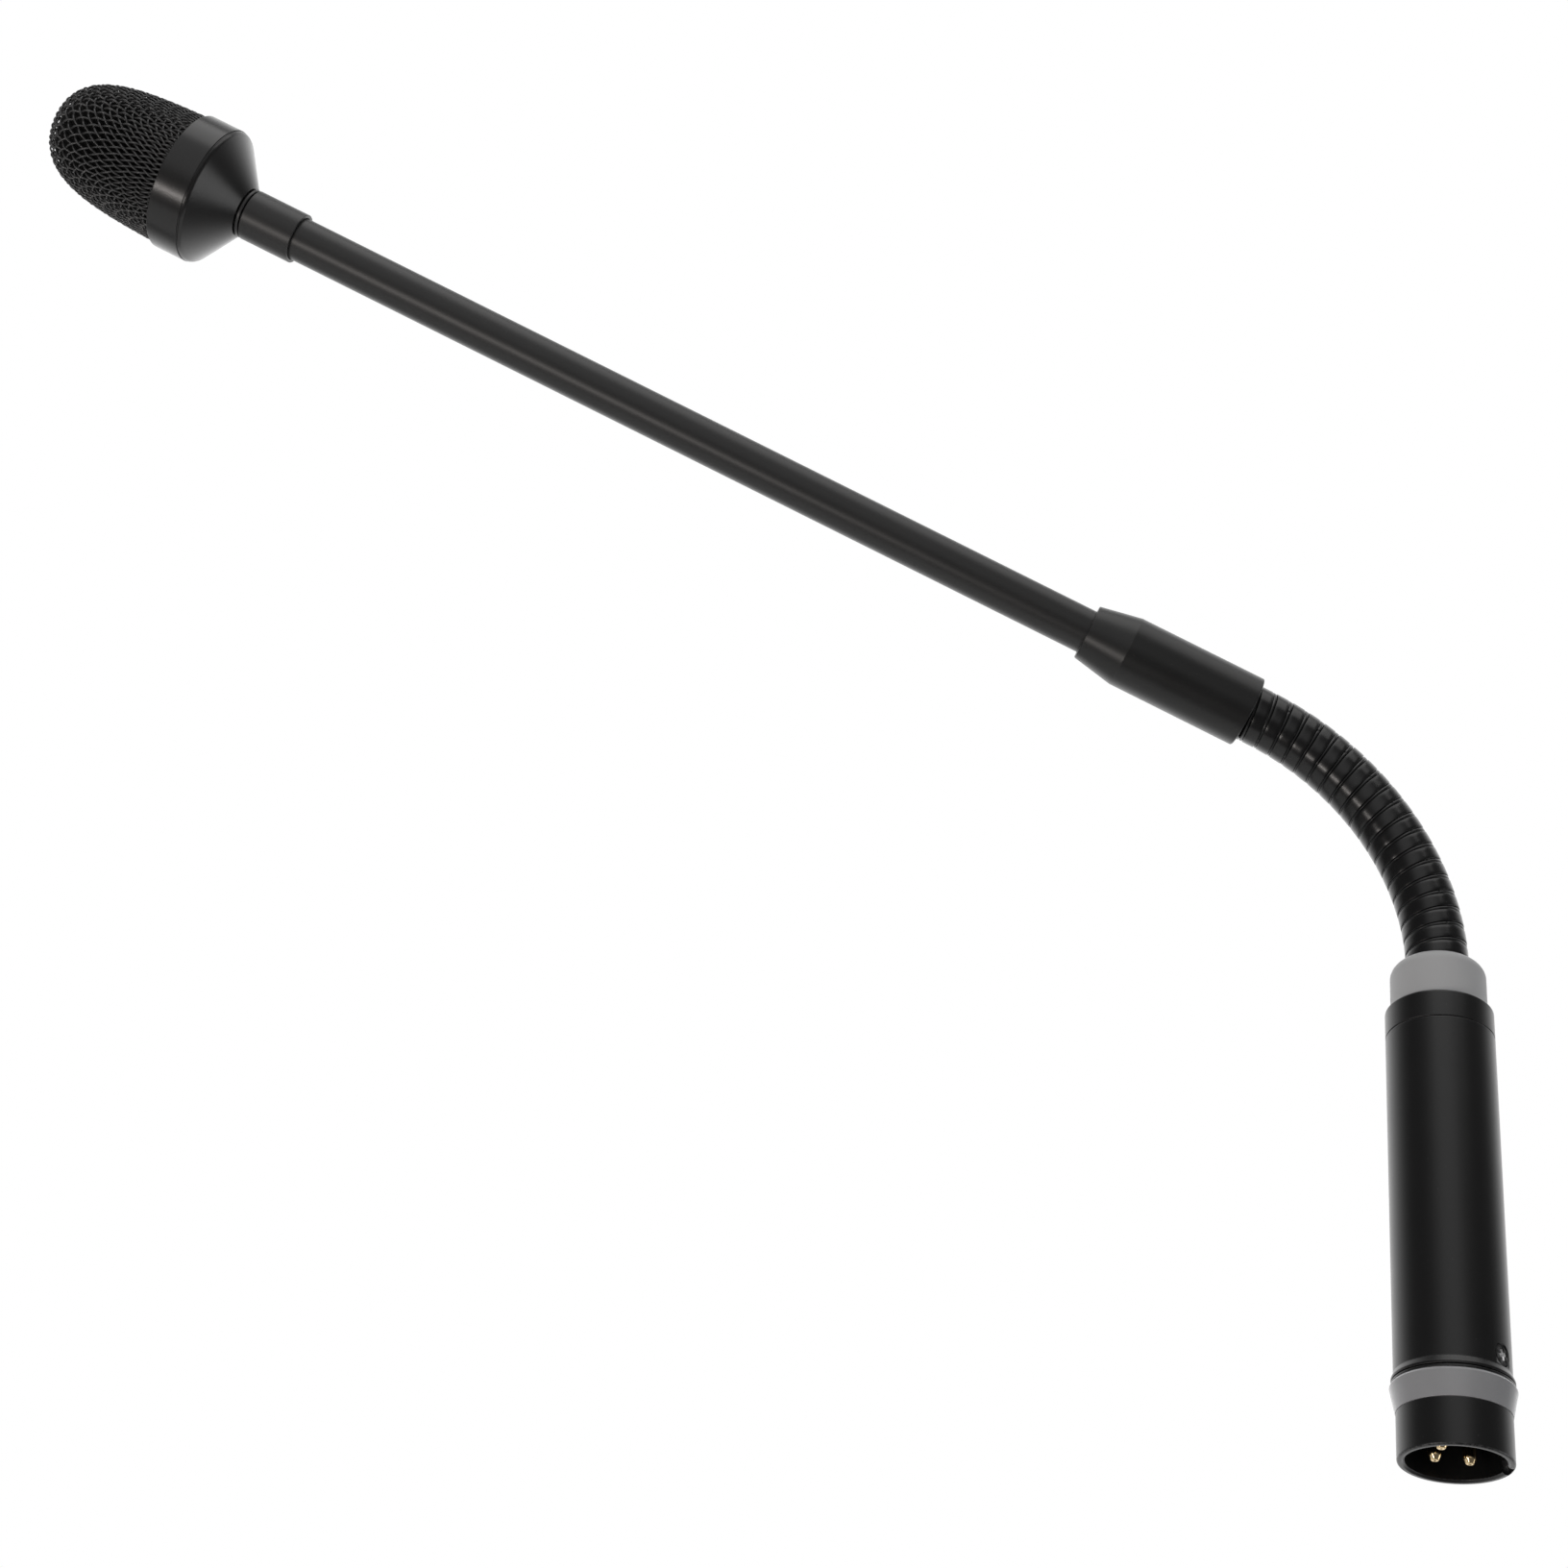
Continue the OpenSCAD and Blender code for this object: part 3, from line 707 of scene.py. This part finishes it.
def band_section():
    """Outline (shift, radius) of the winding, a strip with round edges and a slight crown."""
    top = [(w, BAND_OUT - 0.015 * (w / BAND_HALF) ** 2) for w in np.linspace(-1.13, 1.13, 5)]
    right = [(1.20, BAND_OUT - 0.035), (1.245, BAND_OUT - 0.10), (1.24, BAND_IN + 0.03)]
    return top + right + [(0.9, BAND_IN), (-0.9, BAND_IN)] + [(-w, r) for w, r in right[::-1]]


def helix_s(turn):
    """Distance along the neck of the winding's middle, at a whole azimuth angle."""
    return (turn - CUT_TURN) / (2 * math.pi) * NECK.pitch


def cut_angle(j):
    """Whole azimuth at which links j and j + 1 part: on the hinge's own line."""
    return CUT_TURN + 2 * math.pi * j - (math.pi / 2 if j % 2 else 0)


def wind(name, start, end, section_at):
    """A strip wound from one whole azimuth to another. section_at gives its outline at each."""
    count = max(int((end - start) / (2 * math.pi) * STEPS_A_TURN), 4)
    rings = []
    for k in range(count + 1):
        turn = start + (end - start) * k / count
        s = helix_s(turn)
        rings.append([NECK.point(s + shift0 * MM, turn, r * MM, w * MM)
                      for shift0, w, r in section_at(turn)])
    return sweep(name, rings)


def band_at(turn):
    return [(0.0, w, r) for w, r in band_section()]


def fill_at(turn):
    """Section of the fill wire half a pitch behind the band. It is wider where the neck opens."""
    bend = 1 / NECK.radius if 0 < helix_s(turn) < NECK.arc else 0.0
    pitch = NECK.pitch / MM * (1 + BAND_OUT * MM * math.cos(turn) * bend)
    half = max((pitch - 2 * BAND_HALF) / 2 - 0.065, 0.06)
    back = -NECK.pitch / MM / 2
    outline = [(-half - 0.55, FILL_IN), (-half - 0.55, FILL_SIDE), (-half, FILL_SIDE + 0.10),
               (-half * 0.8, FILL_TOP - 0.03), (0, FILL_TOP), (half * 0.8, FILL_TOP - 0.03),
               (half, FILL_SIDE + 0.10), (half + 0.55, FILL_SIDE), (half + 0.55, FILL_IN)]
    return [(back, w, r) for w, r in outline[::-1]]


def gooseneck(materials):
    """Each body's length of band and fill wire, and each turn's length of lead.

    The fill wire is cut on the same hinge's line as the band, at its other end."""
    for j, body in enumerate(BODIES):
        first = cut_angle(j - 1) if j else CUT_TURN - 0.9 * FULL_TURN
        last = cut_angle(j) if body != "boom" else CUT_TURN + (j - 0.78) * FULL_TURN
        label = "root" if j == 0 else "end" if body == "boom" else f"{j:02d}"
        nodes = [] if body in ("handle", "boom") else [f"gooseneck_turn_{j:02d}"]
        band = wind(f"winding_{label}", first, last, band_at)
        dress(band, materials["winding_black"], body, "winding_black", *nodes)
        if nodes:
            lead = neck_lead(f"neck_lead_{label}", (j - 1) * NECK.pitch, j * NECK.pitch)
            dress(lead, materials["lead_jacket"], body, "lead_jacket", *nodes)
        fill_first = cut_angle(j - 1) + math.pi if j else CUT_TURN
        fill_last = cut_angle(j) + math.pi if body != "boom" else CUT_TURN + (j - 0.38) * FULL_TURN
        fill = wind(f"fill_wire_{label}", fill_first, fill_last, fill_at)
        dress(fill, materials["fill_black"], body, "winding_black")


def neck_lead(name, low, high, sides=20):
    rings = []
    for k in range(5):
        s = low + (high - low) * k / 4
        rings.append([NECK.point(s, 2 * math.pi * a / sides, LEAD_R * MM) for a in range(sides)])
    return sweep(name, rings)


# ---------------------------------------------------------------- boom

NOSE_LENGTH = 8.5                # the coupler's conical end
MOUTH_DEPTH, FERRULE_R = 2.2, 4.65
GRUB_R, GRUB_HEIGHT = 1.55, 8.0


def coupler(material):
    _, outer, low, high = reach("coupler_sleeve", BOOM)
    tube = reach("boom_tube", BOOM)
    mouth = BAND_OUT + 0.5
    piece = lathe("coupler_sleeve_body", [
        (mouth, low, 0.25), (outer, low, 0.3), (outer, high - NOSE_LENGTH, 0.35),
        (tube[1] + 1.15, high, 0.25), (tube[1] + 0.05, high), (tube[1] + 0.05, tube[2] - 0.1),
        (FERRULE_R, tube[2] - 0.1), (FERRULE_R, MOUTH_DEPTH), (mouth, MOUTH_DEPTH)], BOOM)
    foot = Matrix.Translation(Vector((0, 0, GRUB_HEIGHT * MM)))
    side = BOOM @ foot @ Matrix.Rotation(-math.pi / 2, 4, "X")
    cut(piece, rod("tool", GRUB_R, 3, outer + 1, side, corner=0))
    dress(piece, material, "boom", "boom_black", "coupler_sleeve")


def boom_tube(material):
    inner, outer, low, high = reach("boom_tube", BOOM)
    piece = lathe("boom_tube_body", [(inner, low), (outer, low), (outer, high), (inner, high)], BOOM)
    dress(piece, material, "boom", "boom_black", "boom_tube")


def neck_sleeve(material):
    inner, outer, low, high = reach("neck_sleeve", BOOM)
    piece = lathe("neck_sleeve_body", [
        (inner, low), (outer, low, 0.18), (outer, high, 0.14), (inner, high)], BOOM)
    dress(piece, material, "boom", "boom_black", "neck_sleeve")
    inner, outer, low, high = reach("neck_lock_ring", BOOM)
    ring = lathe("neck_lock_ring_body", [
        (inner, low), (outer, low, 0.2), (outer, high, 0.2), (inner, high)], BOOM)
    dress(ring, material, "boom", "boom_black", "neck_lock_ring")


def rear_housing(material):
    inner, outer, low, high = reach("rear_housing", BOOM)
    ring_foot = reach("neck_lock_ring", BOOM)
    cone_foot = ring_foot[3] + 0.30
    shoulder = [(outer - 1.3 + 1.3 * math.cos(a), high + 0.3 + 1.3 * math.sin(a), 0)
                for a in np.radians(np.linspace(-53, -16, 8))]
    piece = lathe("rear_housing_cone", [
        (inner, low, 0.05), (4.5, low, 0.05), (4.5, cone_foot, 0.02),
        (ring_foot[1] + 0.2, cone_foot, 0.15),
        *shoulder, (outer - 0.2, high, 0.03), (outer - 1.9, high), (outer - 2.4, high - 0.9),
        (7.5, high - 4.4), (inner, high - 4.4)],
        BOOM, steps=8)
    dress(piece, material, "boom", "head_black", "rear_housing")


def front_ring(material):
    inner, outer, low, high = reach("front_ring", BOOM)
    lip, recess, seam = 0.42, 1.5, 0.24
    piece = lathe("front_ring_body", [
        (inner, low), (outer - seam, low, 0.05), (outer - seam, low + seam, 0.02),
        (outer, low + seam, 0.07), (outer, high, 0.14), (outer - lip, high, 0.1),
        (outer - lip, high - recess), (inner, high - recess)], BOOM)
    dress(piece, material, "boom", "head_black", "front_ring")


# ---------------------------------------------------------------- woven grille

WIRE_D = 0.39
CRIMP = 0.68                       # how far a crossing lifts a wire, as a share of its diameter
WIRE_GAP = 1.69                    # spacing of the wires on the tip and along the grid's axes
DIAGONAL_GAIN = 0.41               # how much the cells lengthen along the diagonals of the wall
DIAGONAL_START = 6.0               # cells from the tip to where they begin to lengthen
DIAGONAL_EASE = 4.0                # over how many cells that starts
AXIS_SPREAD = 0.025                # how much wider the cells stay beside the grid's axes
DOME_POWER = 3.0
TUCK = 1.3                         # how deep the wires go into the front ring


class Dome:
    """Middle surface of the weave: a blunt dome of revolution, lengthened past its foot."""

    def __init__(self):
        _, self.foot_r, self.foot_z, self.tip_z = reach("mesh_grille", BOOM)
        self.height = self.tip_z - self.foot_z
        depths = [self.height * (k / 300) ** 2.2 for k in range(301)]
        extra = [self.height + k * 0.25 for k in range(1, 60)]
        self.profile = np.array([(self.radius(d), d + WIRE_D) for d in depths + extra])
        steps = np.hypot(*np.diff(self.profile, axis=0).T)
        self.length = np.concatenate([[0], np.cumsum(steps)])

    def radius(self, depth):
        h = self.height - WIRE_D
        u = 1 - min(depth, h) / h
        flare = 0.4 * max((min(depth, self.height) - 14) / 14.3, 0) ** 1.5
        return (self.foot_r - 0.4 + flare - WIRE_D) * (1 - u ** DOME_POWER) ** (1 / DOME_POWER)

    def drape(self, i, j):
        """Places and outward directions of points of the net, in x, y and the depth behind the tip."""
        cells = np.hypot(i, j)
        way = np.arctan2(j, i)
        past = cells - DIAGONAL_START
        at_tip = math.hypot(DIAGONAL_START, DIAGONAL_EASE) - DIAGONAL_START
        ramp = (past + np.hypot(past, DIAGONAL_EASE)) / 2 - at_tip / 2
        run = WIRE_GAP * (cells + DIAGONAL_GAIN * ramp * (1 - np.cos(4 * way)) / 2)
        way = way + AXIS_SPREAD * np.minimum(ramp / 6, 1.0) * np.sin(4 * way)
        r = np.interp(run, self.length, self.profile[:, 0])
        depth = np.interp(run, self.length, self.profile[:, 1])
        ahead_r = np.interp(run + 0.15, self.length, self.profile[:, 0]) - r
        ahead_d = np.interp(run + 0.15, self.length, self.profile[:, 1]) - depth
        size = np.hypot(ahead_r, ahead_d) + 1e-9
        x, y = np.cos(way), np.sin(way)
        places = np.stack([r * x, r * y, depth], -1)
        normals = np.stack([x * ahead_d / size, y * ahead_d / size, -ahead_r / size], -1)
        return places, normals


def wire_lines(dome, first_set, steps=6):
    """Centre lines of one set of wires with their outward directions, from foot to foot."""
    most = int(dome.length[-1] / WIRE_GAP)
    limit = dome.height + TUCK
    side = 1 if first_set else -1
    along = np.arange(-most * steps, most * steps + 1) / steps
    lines = []
    for fixed in range(-most, most + 1):
        across = np.full_like(along, fixed)
        places, normals = dome.drape(along, across) if first_set else dome.drape(across, along)
        wave = np.cos(np.pi * (along + fixed)) * side
        lift = np.sign(wave) * np.abs(wave) ** 0.8 * WIRE_D * CRIMP
        places = places + normals * lift[:, None]
        inside = places[:, 2] < limit
        edges = np.flatnonzero(np.diff(np.concatenate([[False], inside, [False]]).astype(int)))
        for a, b in zip(edges[::2], edges[1::2]):
            if b - a > 4:
                lines.append((places[a:b], normals[a:b]))
    return lines


def wires(name, dome, lines, sides=8):
    """One mesh of round wires along the given lines of the dome."""
    verts, faces = [], []
    turns = np.arange(sides) * 2 * math.pi / sides
    for path, out in lines:
        ahead = np.gradient(path, axis=0)
        ahead /= np.linalg.norm(ahead, axis=1)[:, None]
        side = np.cross(ahead, out)
        side /= np.linalg.norm(side, axis=1)[:, None]
        up = np.cross(side, ahead)
        rings = path[:, None] + (np.cos(turns)[None, :, None] * side[:, None]
                                 + np.sin(turns)[None, :, None] * up[:, None]) * WIRE_D / 2
        start = len(verts)
        rings[:, :, 2] = dome.tip_z - rings[:, :, 2]
        verts.extend(BOOM @ (Vector(p) * MM) for p in rings.reshape(-1, 3))
        count = len(path)
        for r in range(count - 1):
            for k in range(sides):
                a, b = start + r * sides + k, start + r * sides + (k + 1) % sides
                faces.append((a, a + sides, b + sides, b))
        faces.append(tuple(start + k for k in range(sides)))
        faces.append(tuple(start + (count - 1) * sides + k for k in range(sides))[::-1])
    return add_mesh(name, verts, faces)


def grille(material):
    dome = Dome()
    warp = wires("mesh_grille_warp", dome, wire_lines(dome, True))
    weft = wires("mesh_grille_weft", dome, wire_lines(dome, False))
    dress(warp, material, "boom", "mesh_black", "mesh_grille")
    dress(weft, material, "boom", "mesh_black", "mesh_grille")


# ---------------------------------------------------------------- put together

def light_studio():
    whole = (CAD_BOX[0] + CAD_BOX[1]) / 2
    boom = BOOM.to_3x3() @ Vector((0, 0, 1))
    coupler_place = middle("coupler_sleeve")
    aim = coupler_place + boom * 0.55
    tube_lamp = aim + studio(-0.237, -0.474, -0.848) * 0.8
    area_light("tube_lamp", tube_lamp, aim, (0.72, 0.06), 2.1, (1.0, 0.94, 0.90), boom)
    softbox = whole + studio(0.30, 1.0, 0.05)
    area_light("top_softbox", softbox, whole, (1.1, 0.8), 3.2, (1.0, 0.99, 0.98))


def main():
    SCENE.view_settings.view_transform = "Standard"
    make_camera()
    make_world()
    make_stage()
    light_studio()
    materials = make_materials()
    dress_cad_nodes(materials)
    connector_shell(materials["black_shell"])
    contact_pins(materials["gold"])
    grey_ring(materials["grey_ring"])
    flange(materials["black_shell"])
    handle_tube(materials["handle_black"])
    retaining_screw(materials["dark_screw"], materials["recess_painted_glint"])
    end_cap(materials["handle_black"])
    rubber_boot(materials["grey_rubber"])
    gooseneck(materials)
    coupler(materials["coupler_black"])
    boom_tube(materials["boom_black"])
    neck_sleeve(materials["boom_black"])
    rear_housing(materials["head_black"])
    front_ring(materials["head_black"])
    grille(materials["mesh_black"])


main()
